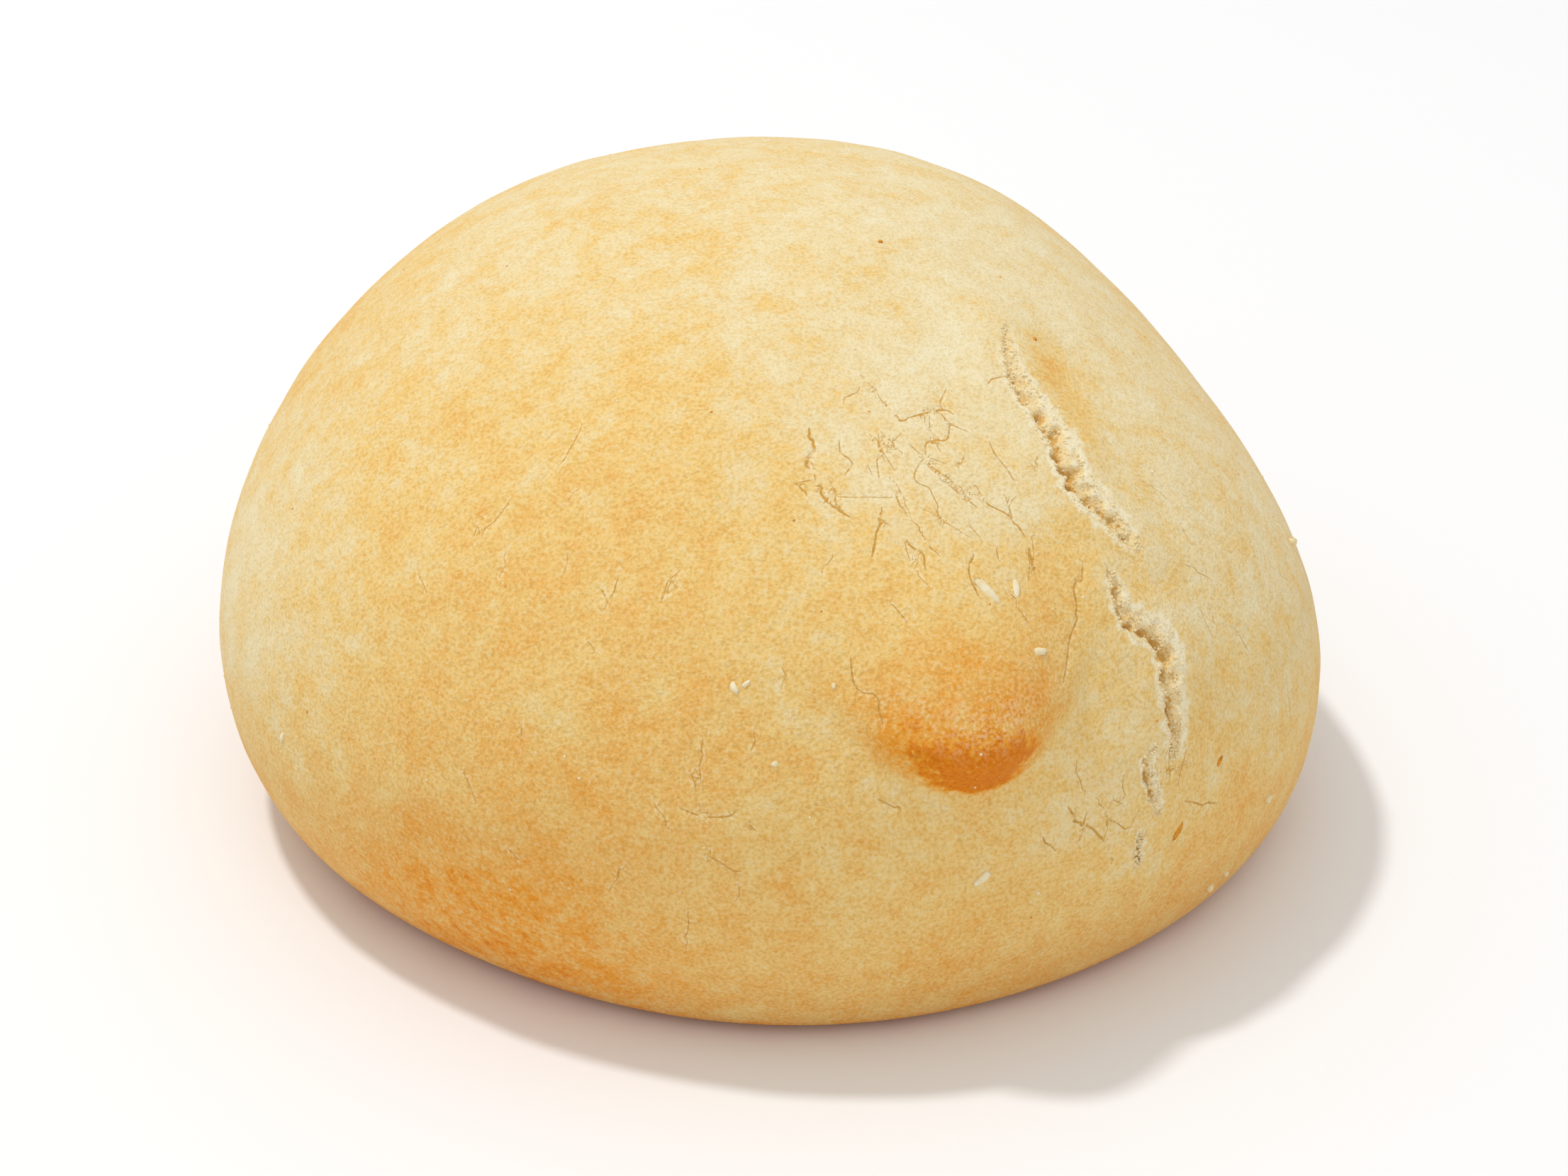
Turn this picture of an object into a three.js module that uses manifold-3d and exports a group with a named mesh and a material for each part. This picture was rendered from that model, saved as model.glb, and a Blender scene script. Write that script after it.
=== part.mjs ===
// A bread roll: one round, pale, hand-rolled bun, baked on a flat tray.
// It has a browned knob low on its front, and beside that the crust has torn open as the roll rose.
//
// Millimetres, +Z up. The origin lies on the tray, under the middle of the roll, and -Y is the front.
// A place on the crust is a bearing, turned from the front towards +X, and an altitude above the belly.
// Both are in degrees, as seen from the heart of the roll.

import * as THREE from "three";
import { LoftGeometry } from "three/addons/geometries/LoftGeometry.js";
import { mergeVertices } from "three/addons/utils/BufferGeometryUtils.js";
import Module from "manifold-3d";

const { degToRad, lerp, seededRandom } = THREE.MathUtils;

// Driving dimensions of the round bun
const HALF_WIDTH = 48;
const CROWN_RISE = 35.5; // from the belly up to the crown
const BELLY_HEIGHT = 18; // from the tray up to the belly
const DOME_POWER = 2.1; // 2 is an ellipsoid, and more is squarer

// How the dough departs from round: waves around an axis that leans from the crown towards the front.
// Each has its number of lobes, its share of the radius, and the turn of its first lobe in degrees.
const LEAN_ALTITUDE = 30;
const WAVES = [
  { lobes: 2, share: 0.0326, turn: -54.5 },
  { lobes: 3, share: 0.0287, turn: -33.5 },
  { lobes: 4, share: 0.0102, turn: -6.5 },
  { lobes: 5, share: 0.0153, turn: -14.6 },
];

// The knob: a blunt nose that swells gently from above and drops steeply below its brow.
const KNOB = {
  bearing: 20.5,
  altitude: 13.5,
  rise: 3.3,
  halfWidth: 8,
  above: 13, // length of the slope above the brow
  below: 3.2, // length of the drop under it
  arch: 0.06, // how fast the brow curls up to both sides, per millimetre
};

// The tears: gashes that follow each other down the side, as [bearing, altitude] along their middle.
const TEARS = [
  { halfWidth: 1.5, depth: 2.4, route: [[59, 54], [52, 50], [48, 46], [46, 39], [44, 33], [47, 25]] },
  { halfWidth: 1.3, depth: 2.2, route: [[41, 25], [41, 20], [44, 16.5], [43, 12], [42.5, 8], [41.5, 5.5]] },
  { halfWidth: 0.6, depth: 1.2, route: [[40, 8], [38.3, 6], [39.7, 0.5]] },
  { halfWidth: 0.4, depth: 0.8, route: [[37, 0.5], [37.3, -2], [37, -4.5]] },
];
const GASH_STEP = 1; // spacing of the sections along a gash
const GASH_RAGGED = 0.35; // how far each torn edge strays, as a share of the half width
const GASH_TIP = 0.12; // half width and depth where a gash ends
const GASH_SEED = 7;
const WALL_FOOT = 0.7; // where the steep left wall meets the bed, as a share of the left half
const BED_BREAK = { side: 0.2, depth: 0.7 }; // where the bed steepens, as shares of the right half and depth
const CUT_CLEAR = 3; // how far a cutter stands clear of the crust

// The crust swells into a soft lip along both sides of each gash.
const LIP_RISE = 0.55;
const LIP_WIDTH = 3.5;

// The facets are finest at the torn side, where the focus is, and coarsest behind.
const FACET_DETAIL = 21;
const FOCUS = { bearing: 38, altitude: 24, pull: 0.25 };

const PROBE = 0.05; // step for measuring the slope of the crust
const MERGE = 1e-4; // vertices closer than this are one

const HEART = new THREE.Vector3(0, 0, BELLY_HEIGHT);
const LEAN_UP = new THREE.Vector3(0, Math.sin(degToRad(LEAN_ALTITUDE)), Math.cos(degToRad(LEAN_ALTITUDE)));

// The unit direction from the heart to a place on the crust.
function towards(bearing, altitude) {
  const level = Math.cos(degToRad(altitude));
  return new THREE.Vector3(
    level * Math.sin(degToRad(bearing)),
    -level * Math.cos(degToRad(bearing)),
    Math.sin(degToRad(altitude)),
  );
}

// The bun's radius in a direction: a squared-off ellipsoid, swelled and hollowed by the waves.
function bunRadius(direction) {
  const level = Math.hypot(direction.x, direction.y) / HALF_WIDTH;
  const height = Math.abs(direction.z) / CROWN_RISE;
  const round = (level ** DOME_POWER + height ** DOME_POWER) ** (-1 / DOME_POWER);
  const across = direction.x;
  const up = direction.dot(LEAN_UP);
  const angle = Math.atan2(up, across);
  const reach = Math.hypot(across, up);
  let share = 1;
  for (const wave of WAVES) {
    share += wave.share * reach ** wave.lobes * Math.cos(wave.lobes * (angle - degToRad(wave.turn)));
  }
  return round * share;
}

function bunPoint(direction) {
  return direction.clone().multiplyScalar(bunRadius(direction)).add(HEART);
}

// How far out a point lies: 1 on the bun's skin, less inside, more outside.
function fullness(point) {
  const arm = point.clone().sub(HEART);
  return arm.length() / bunRadius(arm.normalize());
}

// The bun's outward direction at a point, from the slope of its fullness.
function outwardAt(point) {
  const slope = new THREE.Vector3();
  for (const axis of ["x", "y", "z"]) {
    const step = new THREE.Vector3();
    step[axis] = PROBE;
    slope[axis] = fullness(point.clone().add(step)) - fullness(point.clone().sub(step));
  }
  return slope.normalize();
}

// The knob's middle, with the directions across it and up it along the crust.
const knobFrame = (() => {
  const middle = bunPoint(towards(KNOB.bearing, KNOB.altitude));
  const out = outwardAt(middle);
  const across = new THREE.Vector3(0, 0, 1).cross(out).normalize();
  return { middle, out, across, up: out.clone().cross(across) };
})();

// The knob's height over the bun: a bell across, and one that is long above and short below its brow.
function knobRise(point) {
  const arm = point.clone().sub(knobFrame.middle);
  if (arm.dot(knobFrame.out) < -CROWN_RISE) return 0;
  const across = arm.dot(knobFrame.across);
  const along = arm.dot(knobFrame.up) - KNOB.arch * across ** 2;
  const fall = along > 0 ? KNOB.above : KNOB.below;
  return KNOB.rise * Math.exp(-((across / KNOB.halfWidth) ** 2) - (along / fall) ** 2);
}

// A gash's middle line on the bun.
function tearCurve(tear) {
  const places = tear.route.map(([bearing, altitude]) => bunPoint(towards(bearing, altitude)));
  return new THREE.CatmullRomCurve3(places);
}

// A gash's share of its full width along its length: none at the tips.
function taper(share) {
  return Math.sqrt(Math.sin(Math.PI * share));
}

// Points along every gash, each with the half width there, for the lips.
const tearPoints = TEARS.flatMap((tear) => {
  const curve = tearCurve(tear);
  const steps = Math.ceil(curve.getLength() / GASH_STEP);
  return curve
    .getSpacedPoints(steps)
    .map((point, i) => ({ point, halfWidth: tear.halfWidth * taper(i / steps) }));
});

// The swelling beside the nearest gash, which fades over the lip's width.
function lipRise(point) {
  let gap = Infinity;
  for (const station of tearPoints) {
    gap = Math.min(gap, Math.max(0, point.distanceTo(station.point) - station.halfWidth));
  }
  return LIP_RISE * Math.exp(-((gap / LIP_WIDTH) ** 2));
}

// The crust: the bun with its knob and lips, which stand out square to the bun's skin.
function crustPoint(direction) {
  const point = bunPoint(direction);
  const rise = knobRise(point) + lipRise(point);
  return point.addScaledVector(outwardAt(point), rise);
}

// Crowds directions towards the focus, by the map of a sphere onto itself that keeps every angle.
function crowd(direction) {
  const focus = towards(FOCUS.bearing, FOCUS.altitude).multiplyScalar(FOCUS.pull);
  const aim = direction.clone().add(focus);
  return aim.multiplyScalar((1 - FOCUS.pull ** 2) / aim.lengthSq()).add(focus);
}

function bunGeometry() {
  const geometry = new THREE.IcosahedronGeometry(1, FACET_DETAIL);
  const place = geometry.getAttribute("position");
  const direction = new THREE.Vector3();
  for (let i = 0; i < place.count; i++) {
    direction.fromBufferAttribute(place, i).normalize();
    const point = crustPoint(crowd(direction).normalize());
    place.setXYZ(i, point.x, point.y, point.z);
  }
  return geometry;
}

// What a tear takes out of the bun: ragged sections along its middle line.
// Each has a steep wall on the left, and a bed that climbs slowly to the right.
function gashGeometry(tear) {
  const curve = tearCurve(tear);
  const steps = Math.ceil(curve.getLength() / GASH_STEP);
  const ragged = () => 1 + GASH_RAGGED * (2 * seededRandom() - 1);
  const sections = [];
  for (let i = 0; i <= steps; i++) {
    const share = i / steps;
    const ahead = curve.getTangentAt(share);
    const middle = bunPoint(curve.getPointAt(share).sub(HEART).normalize());
    const out = outwardAt(middle);
    const right = out.clone().cross(ahead).normalize();
    const open = taper(share);
    const leftEdge = lerp(GASH_TIP, tear.halfWidth, open) * ragged();
    const rightEdge = lerp(GASH_TIP, tear.halfWidth, open) * ragged();
    const depth = lerp(GASH_TIP, tear.depth, open) * ragged();
    const outline = [
      [rightEdge, LIP_RISE],
      [rightEdge, CUT_CLEAR],
      [-leftEdge, CUT_CLEAR],
      [-leftEdge, 0],
      [-WALL_FOOT * leftEdge, -depth],
      [BED_BREAK.side * rightEdge, -BED_BREAK.depth * depth],
    ];
    const section = outline.map(([side, height]) =>
      middle.clone().addScaledVector(right, side).addScaledVector(out, height),
    );
    sections.push(section);
  }
  return new LoftGeometry(sections, { capStart: true, capEnd: true });
}

// Everything below the tray's face, which cuts the bun's flat base.
function belowTrayGeometry() {
  const size = 4 * HALF_WIDTH;
  return new THREE.BoxGeometry(size, size, size).translate(0, 0, -size / 2);
}

const wasm = await Module();
wasm.setup();

function solidOf(geometry) {
  const bare = new THREE.BufferGeometry();
  bare.setAttribute("position", geometry.getAttribute("position"));
  bare.setIndex(geometry.index);
  const merged = mergeVertices(bare, MERGE);
  return new wasm.Manifold(
    new wasm.Mesh({
      numProp: 3,
      vertProperties: new Float32Array(merged.getAttribute("position").array),
      triVerts: new Uint32Array(merged.index.array),
    }),
  );
}

function geometryOf(solid) {
  const { vertProperties, triVerts } = solid.getMesh();
  const geometry = new THREE.BufferGeometry();
  geometry.setAttribute("position", new THREE.BufferAttribute(vertProperties, 3));
  geometry.setIndex(new THREE.BufferAttribute(triVerts, 1));
  return geometry;
}

// The roll: the bun, torn open and set flat on its tray, with its box centred over the origin.
function rollGeometry() {
  seededRandom(GASH_SEED);
  let solid = solidOf(bunGeometry());
  for (const tear of TEARS) solid = solid.subtract(solidOf(gashGeometry(tear)));
  solid = solid.subtract(solidOf(belowTrayGeometry()));
  const geometry = geometryOf(solid);
  geometry.computeBoundingBox();
  const centre = geometry.boundingBox.getCenter(new THREE.Vector3());
  geometry.translate(-centre.x, -centre.y, 0);
  geometry.computeVertexNormals();
  return geometry;
}

const crust = new THREE.MeshStandardMaterial({ color: 0xe6c183, roughness: 0.9, metalness: 0 });
const breadRoll = new THREE.Mesh(rollGeometry(), crust);
breadRoll.name = "bread_roll";

const part = new THREE.Group();
part.add(breadRoll);

export default part;
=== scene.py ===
"""Dresses the bread roll: its crackled crust, the torn crumb, the flour and specks on it, and a plain studio.

Lengths are in metres, except where a table says mm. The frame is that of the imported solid: the origin
lies under the middle of the roll, +Z is up and -Y is the front. A place on the crust is a bearing, turned
from the front towards +X, and an altitude above the belly, both in degrees as seen from the heart of the roll.
"""

import itertools
import math

import bpy
import numpy as np
from bpy.props import FloatProperty, FloatVectorProperty, PointerProperty
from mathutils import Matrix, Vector


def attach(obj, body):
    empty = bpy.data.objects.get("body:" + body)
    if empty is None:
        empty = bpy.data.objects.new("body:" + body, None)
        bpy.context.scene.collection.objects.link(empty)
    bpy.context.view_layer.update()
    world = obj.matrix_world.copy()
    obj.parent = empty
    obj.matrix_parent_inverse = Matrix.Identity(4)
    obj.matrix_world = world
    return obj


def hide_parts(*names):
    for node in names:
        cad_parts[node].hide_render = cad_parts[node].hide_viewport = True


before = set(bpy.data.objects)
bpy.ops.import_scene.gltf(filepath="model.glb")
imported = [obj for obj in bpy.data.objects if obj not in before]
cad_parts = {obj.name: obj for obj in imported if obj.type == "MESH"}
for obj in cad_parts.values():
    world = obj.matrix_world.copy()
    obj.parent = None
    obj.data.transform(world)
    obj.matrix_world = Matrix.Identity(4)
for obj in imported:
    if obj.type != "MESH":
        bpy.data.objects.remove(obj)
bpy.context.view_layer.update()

bl_info = {
    "name": "Bread Roll",
    "version": (1, 0, 0),
    "blender": (4, 5, 0),
    "location": "3D View > Sidebar > Bread Roll",
    "description": "Makes a pale bread roll with a crackled crust, a torn split and a browned knob",
    "category": "Add Mesh",
}

MM = 0.001
BODY = "root"
NODE = "bread_roll"

# Waves of the dough around an axis that leans to the front: lobes, share of the radius, turn in degrees.
LEAN_ALTITUDE = 30
WAVES = ((2, 0.0326, -54.5), (3, 0.0287, -33.5), (4, 0.0102, -6.5), (5, 0.0153, -14.6))

# The tears, from the top down: half width, depth, lean, and places along the middle.
# A lean of 1 makes a tear widest halfway, and more makes it widest lower down.
TEARS = (
    (1.5 * MM, 1.2 * MM, 1.5, ((59, 54), (52, 50), (48, 46), (46, 39), (44, 33), (47, 25))),
    (1.3 * MM, 1.2 * MM, 1.0, ((41, 25), (41, 20), (44, 16.5), (43, 12), (42.5, 8), (41.5, 5.5))),
    (0.6 * MM, 0.8 * MM, 1.0, ((40, 8), (38.3, 6), (39.7, 0.5))),
    (0.4 * MM, 0.6 * MM, 1.0, ((37, 0.5), (37.3, -2), (37, -4.5))),
)

# The cracks: how heavy each is, and places along it.
CRACKS = (
    (0.7, ((19, 52.5), (14, 50.5))),
    (1.0, ((22, 50), (22.5, 48), (23.5, 47), (31, 47), (32.5, 46))),
    (0.7, ((34.5, 50), (31, 47.5))),
    (0.9, ((31, 45.5), (28.5, 43.5), (25.5, 43.5), (24, 42))),
    (0.8, ((12, 45.5), (11.5, 44), (13, 42.5), (11.5, 41))),
    (1.6, ((7, 47.5), (7.5, 45), (6.5, 43.5), (6.5, 42))),
    (1.1, ((4, 40.5), (5, 40), (6, 39))),
    (1.4, ((7.5, 40.5), (8, 38.5), (9, 37.5), (11, 36))),
    (1.1, ((15.5, 37), (14.5, 35), (14, 33.5), (13, 31.5))),
    (0.8, ((17.5, 38), (18.5, 35.5))),
    (1.0, ((17, 33), (17.5, 32), (18.5, 31), (18.5, 29.5))),
    (0.8, ((30, 41), (28, 39.5))),
    (1.0, ((29, 35.5), (31, 33.5), (32, 32), (32, 30.5))),
    (1.5, ((32, 30), (31.5, 27))),
    (0.8, ((40.5, 38), (38.5, 36.5))),
    (1.0, ((24.5, 30.5), (23, 28.5), (23, 26))),
    (0.7, ((28, 30.5), (27.5, 29))),
    (0.7, ((24, 42), (21.5, 39.5), (23, 38), (22.5, 35.5), (22.5, 33.5))),
    (0.6, ((15.5, 42), (15.5, 40.5))),
    (0.5, ((9.5, 39), (13, 38.5), (17.5, 38))),
    (1.1, ((38.5, 26.5), (37, 25), (35.5, 24.5), (35, 23), (34, 21.5), (30, 16.5))),
    (0.9, ((9, 22.5), (9.5, 19.5), (11, 18.5), (11.5, 16))),
    (0.8, ((10.5, 9), (13, 8))),
    (1.3, ((29.5, 5), (30.5, 3.5), (30, 3), (31.5, 2), (33.5, 0))),
    (1.1, ((26.5, 2.5), (28, 0.5))),
    (0.8, ((33.5, 2.5), (36, 0.5))),
    (1.0, ((40.5, 5), (44, 4.5))),
    (1.1, ((43, 0.5), (48, -2))),
    (0.9, ((-5, 4.5), (-4.5, 3.5), (-2, 2))),
    (0.9, ((-8, 8.5), (-6, 8), (-3.5, 8), (-2.5, 8.5))),
    (0.9, ((-1.5, 7.5), (-0.5, 6.5))),
    (0.8, ((2, 22), (2.5, 21))),
    (0.7, ((-25.5, 1), (-24, -0.5))),
    (0.7, ((-41.5, 24.5), (-39, 23))),
    (0.9, ((-19, 28.5), (-17.5, 27))),
    (0.9, ((-19, 23), (-17.5, 22))),
    (0.9, ((42, 48), (45, 48.5), (47.5, 48))),
)

# Where finer hairlines are scattered: bearing, altitude, spread in degrees, and how many.
HAIRLINE_ZONES = ((22, 37, 8, 32), (38, 1, 5, 14), (-6, 4, 6, 7), (-24, 24, 10, 10), (56, 14, 5, 8))
HAIRLINE_LENGTHS = (1.6 * MM, 5.0 * MM)
HAIRLINE_WEIGHTS = (0.4, 0.7)
HAIRLINE_SLANT = 0.35

# Short twigs branch off some cracks: their share, and their lengths, turns, weight and zigzag.
TWIG_SHARE = 0.15
TWIG_LENGTHS = (0.6 * MM, 1.6 * MM)
TWIG_TURNS = (0.6, 1.2)
TWIG_WEIGHT = 0.6
TWIG_STRAY = 0.4

# How far a crack is felt, how long its tips are, how many cells it spans, how fast it fades past them,
# and how wide its groove is.
CRACK_REACH = 1.2 * MM
CRACK_TIP = 0.6 * MM
CRACK_CELLS = 1.3
CRACK_FADE = 2
GROOVE_SPREAD = 0.16 * MM

# The tears' noise: waves along their edges, the finer fray on them, the pits and the rough floor.
EDGE_WAVE = 0.9 * MM
FRAY_WAVE = 0.4 * MM
FRAY_SHARE = 0.6
PIT_WAVE = 1.1 * MM
PIT_BEAT = 0.15
PIT_RANGE = (-0.55, 0.5)
ROUGH_WAVE = 0.5 * MM
ROUGH_SHARE = 0.6

# The tears' section: shares of both half widths and of the depth between pits, and places across the tear
# where the wall drops and where the bed has climbed out.
LEFT_SHARE = 0.7
RIGHT_SHARE = 0.5
FLOOR_SHARE = 0.25
WALL_RANGE = (-0.02, 0.22)
BED_END = 1.05
BED_LENGTH = 0.85
BED_POWER = 1.2
TIP_HALF_WIDTH = 0.1 * MM
LEAST_WIDTH = 0.05 * MM
LIP_REACH = 4

# The dusty rims of a tear: how far out of each edge they lie and how wide they are, in half widths.
LEFT_RIM = (0.25, 0.3)
RIGHT_RIM = (0.15, 0.7)

# Soft waves of the dough, each with its share, and the heights between which they fade towards the base.
DENT_WAVES = ((13 * MM, 1), (4.5 * MM, 0.35))
DENT_FADE = (1.5 * MM, 9 * MM)

# How much the crust is baked all over, and what is added from a height down: start, full and amount.
CREAM_BAKE = 0.08
HEIGHT_BAKES = ((53 * MM, 38 * MM, 0.30), (24 * MM, 4 * MM, 0.29), (3 * MM, 0.3 * MM, 0.5))

# Where the crust is baked more or less than its height says, and where one patch also paints sheen: bearing,
# altitude, radius in mm, amount.
BAKE_PATCHES = (
    (27, 45, 13, -0.08),
    (20, 38, 10, -0.08),
    (75, 26, 33, -0.33),
    (36, 1, 10, -0.16),
    (-29, -8, 13, 0.32),
    (-45, 8, 14, -0.03),
    (-11, 7, 10, 0.12),
    (2, -14, 11, -0.18),
    (52, 29, 6, -0.10),
    (46, 2, 7, 0.10),
    (4, 30, 7, -0.05),
    (-18, 32, 14, 0.04),
    (-20, 52, 14, 0.14),
    # Paler crust at the left edge seen from the front, and a painted sheen of light grazing there.
    (-72, 12, 17, -0.38),
    (60, 48, 4, 0.28),
    (56, 43, 4, 0.30),
    (52, 38, 3, 0.12),
    (50, 33, 2, 0.08),
    (42, 71, 5, 0.12),
    (-90, 77, 8, 0.08),
)

# The knob's browning: the amounts and sizes of its zones, and their heights over its brow.
# The crescent and the rim lie a little to the left, and end at the underside.
UNDERSIDE = (-4.6 * MM, -3.6 * MM)
TOAST_SHIFT = 0.7 * MM
CRESCENT_BAKE = 0.48
CRESCENT_HALF_WIDTH = 5.8 * MM
CRESCENT_FADE = (4.5 * MM, -2.0 * MM)
RIM_BAKE = 0.72
RIM_HALF_WIDTH = 5.2 * MM
RIM_HEIGHT = -2.4 * MM
RIM_SPREAD = 2.4 * MM
GLOW_BAKE = 0.42
GLOW_HALF_WIDTH = 9 * MM
GLOW_HEIGHT = 3 * MM
GLOW_SPREAD = 6 * MM
# Pale dust on the knob's brow, which is also a painted highlight where the brow faces the light: half width,
# height and spread.
DUST_AND_HIGHLIGHT_HALF_WIDTH = 5.0 * MM
DUST_AND_HIGHLIGHT_HEIGHT = 1.2 * MM
DUST_AND_HIGHLIGHT_SPREAD = 1.8 * MM

# Where baking turns the crust from each of its colours to the next, from pale to scorch.
BAKE_STEPS = (-0.3, 0.0, 0.3, 0.65, 1.0, 1.3)

# The crust's noise: the size of its waves, and how far they shift the baking. Noise lies around its middle.
FINE_GRAIN = 0.3 * MM
COARSE_GRAIN = 0.9 * MM
MOTTLE = 4.0 * MM
STREAK = 1.6 * MM
STREAK_SQUEEZE = (1, 1, 0.25)
NOISE_MIDDLE = 0.5
MOTTLE_BAKE = 1.6
COARSE_BAKE = 1.7
STREAK_BAKE = 0.4

# What covers the baked colours: the values between which each cover comes in, and the strength of some.
BROWNED = (0.55, 1.0)
DUSTY = (1.2, 0.7)
SPECK = (0.58, 0.72)
SPECK_SHARE = 0.4
# The knob's pale brow is flour grain and a painted highlight.
DUST_AND_HIGHLIGHT = (0.85, 1.25)
DUST_AND_HIGHLIGHT_SHARE = 0.4
RIM_DUST = (0.3, 0.9)
RIM_RAGGED = 1.2
TORN = (0.05, 0.2)
# The pit colour comes in where the tears sink deeper or the fine grain is strongest: partly painted shade in
# the pits.
PITS_AND_SHADE = (0.2, 0.55)
PITS_AND_SHADE_GRAIN = 1.6
CRACK_EDGE = (-0.04 * MM, 0.05 * MM)
CRACK_BREAKS = (0.25, 0.5)
FLAKE_EDGE = (-0.4 * MM, -0.1 * MM)
FLAKE_GRAIN = (0.4, 0.7)
FLAKE_SHARE = 0.3
GRIT_GRAIN = (0.6, 0.25)
GRIT_BAKE = (-1.2, 0.4)
GRIT_TINT = (0.86, 0.77, 0.60)

# Heights of the bumps, and how the crumb, the flour and the bran mix their two colours.
FINE_BUMP = 0.10 * MM
COARSE_BUMP = 0.14 * MM
CRACK_BUMP = -0.03 * MM
DRY_BUMP = 0.08 * MM
DRY_MIX = (0.35, 0.65)

# Where the stretched dough is streaked up and down: bearing, altitude, radius in mm, amount.
STREAK_PATCHES = ((58, 15, 16, 1.0), (62, 38, 14, 0.7))

# Bits of dried flour: bearing, altitude, length, width and thickness in mm, and turn from level in degrees.
FLOUR_BITS = (
    (24.5, 26.5, 2.9, 0.8, 0.35, -62),
    (28, 26, 1.8, 0.6, 0.35, 70),
    (28, 20, 1.7, 0.6, 0.25, -10),
    (20.5, -0.5, 1.9, 0.8, 0.4, 38),
    (-3, 20, 1.2, 0.6, 0.35, -60),
    (-1.8, 20.4, 0.9, 0.4, 0.3, 40),
    (7, 20, 0.6, 0.4, 0.3, 80),
    (1, 13, 0.6, 0.5, 0.3, 20),
    (-56, 1, 1.3, 0.5, 0.3, 70),
)

# Loose crumbs on the right: bearing, altitude and half width.
CRUMBS = (
    (80.5, 10.5, 0.45 * MM),
    (58, -6.4, 0.4 * MM),
    (52, -15, 0.5 * MM),
    (54, -14, 0.35 * MM),
)

# Crumbs in the tears: how many to a millimetre, their spread across, their half widths and their stretch.
CRUMBS_PER_MM = 14
CRUMB_SPREAD = (-1.25, 1.1)
CRUMB_HALF_WIDTHS = (0.07 * MM, 0.16 * MM)
CRUMB_STRETCH = (0.7, 1.3)

# Specks of bran, listed as the bits of flour are.
BRAN_BITS = (
    (42.5, -2.5, 1.5, 0.7, 0.25, 55),
    (48.5, 2.5, 1.0, 0.5, 0.25, 35),
    (14, 13.5, 0.8, 0.5, 0.25, -60),
    (66.5, 73.5, 0.5, 0.4, 0.25, 0),
    (62.5, 50, 0.5, 0.4, 0.25, 0),
)

# Finer flecks scattered over the crust: how many, half widths, and shares of it along, across and through.
# More are drawn than are kept, because those in directions below the lowest height are left out.
FLOUR_FLECKS = (170, (0.07 * MM, 0.17 * MM), (1, 0.8, 0.6))
BRAN_FLECKS = (60, (0.06 * MM, 0.13 * MM), (1, 0.7, 0.5))
LOWEST_FLECK = -0.25
FLECK_DRAWS = 4

# Every crumb, bit and fleck: cells along the edge of its cube, and how far its corners are pushed.
LUMP_CELLS = 2
LUMP_PUSH = (0.75, 1.25)

# The floor's half width, and where the lights stand, seen from the roll.
FLOOR_HALF = 2.0
KEY_FROM = (-0.30, 0.08, 1.0)
FRONT_FROM = (0.1, -1.0, 1.3)

# Cells along the cube's edge for the crust and for measuring the bun, and where the crust's cells crowd.
CRUST_CELLS = 127
PROBE_CELLS = 40
FOCUS = (33, 24)
FOCUS_PULL = 0.45
MERGE_DIGITS = 7

# Steps for measuring slopes and walking along lines, and what the noise and the draws start from.
SLOPE_STEP = 0.02 * MM
SEAM_STEP = 0.25 * MM
LEAST_STATIONS = 5
LEAST_FALL = 1e-6
LATTICE = 256
GRAIN_HEIGHT = 1.6
SEED = 11


def number_property(name, description, default, **options):
    """A number that isn't negative."""
    return FloatProperty(name=name, description=description, default=default, min=0, **options)


def length_property(name, description, default):
    """A length in metres."""
    return number_property(name, description, default, precision=5, unit="LENGTH")


def power_property(name, description, default):
    """A light's power in watts."""
    return number_property(name, description, default, unit="POWER")


def angle_property(name, description, degrees):
    """An angle, given in degrees."""
    return FloatProperty(name=name, description=description, default=math.radians(degrees), subtype="ANGLE")


def colour_property(name, description, default):
    """A linear colour."""
    return FloatVectorProperty(
        name=name, description=description, default=default, subtype="COLOR", size=3, min=0, max=1
    )


class BunShape(bpy.types.PropertyGroup):
    """The smooth dough of the roll"""

    half_width: length_property("Half width", "Radius of the belly", 0.048)
    crown_rise: length_property("Crown rise", "Height of the crown over the belly", 0.0355)
    belly_height: length_property("Belly height", "Height of the belly over the tray", 0.018)
    dome_power: number_property("Dome power", "2 is an ellipsoid, and more is squarer", 2.1)
    edge_power: number_property("Edge power", "How sharply the base's edge turns", 26)
    dent: length_property("Dents", "Height of the soft unevenness of the dough", 0.22 * MM)


class KnobShape(bpy.types.PropertyGroup):
    """The blunt, browned nose low on the front"""

    bearing: angle_property("Bearing", "Turn from the front", 20.5)
    altitude: angle_property("Altitude", "Angle above the belly", 13.5)
    rise: length_property("Rise", "Height over the bun", 0.0033)
    half_width: length_property("Half width", "Half of its width", 0.0072)
    above: length_property("Above", "Length of the slope above its brow", 0.013)
    below: length_property("Below", "Length of the drop under its brow", 0.0032)
    arch: number_property("Arch", "How fast the brow curls up to both sides, per metre", 60)


class SplitShape(bpy.types.PropertyGroup):
    """The tears and the hairline cracks"""

    ragged: length_property("Ragged", "How far the torn edges stray", 0.3 * MM)
    pit_pitch: length_property("Pit pitch", "Spacing of the pits along a tear", 1.8 * MM)
    lip_rise: length_property("Lip rise", "Height of the crust's swelling beside a tear", 0.55 * MM)
    lip_width: length_property("Lip width", "Width over which the swelling fades", 3.5 * MM)
    crack_half_width: length_property("Crack half width", "Half of the width of a crack", 0.075 * MM)
    crack_depth: length_property("Crack depth", "Depth of a crack", 0.09 * MM)
    crack_stray: length_property("Crack stray", "How far a crack zigzags", 0.24 * MM)
    crack_bend: length_property("Crack bend", "Spacing of a crack's corners", 0.9 * MM)


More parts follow.
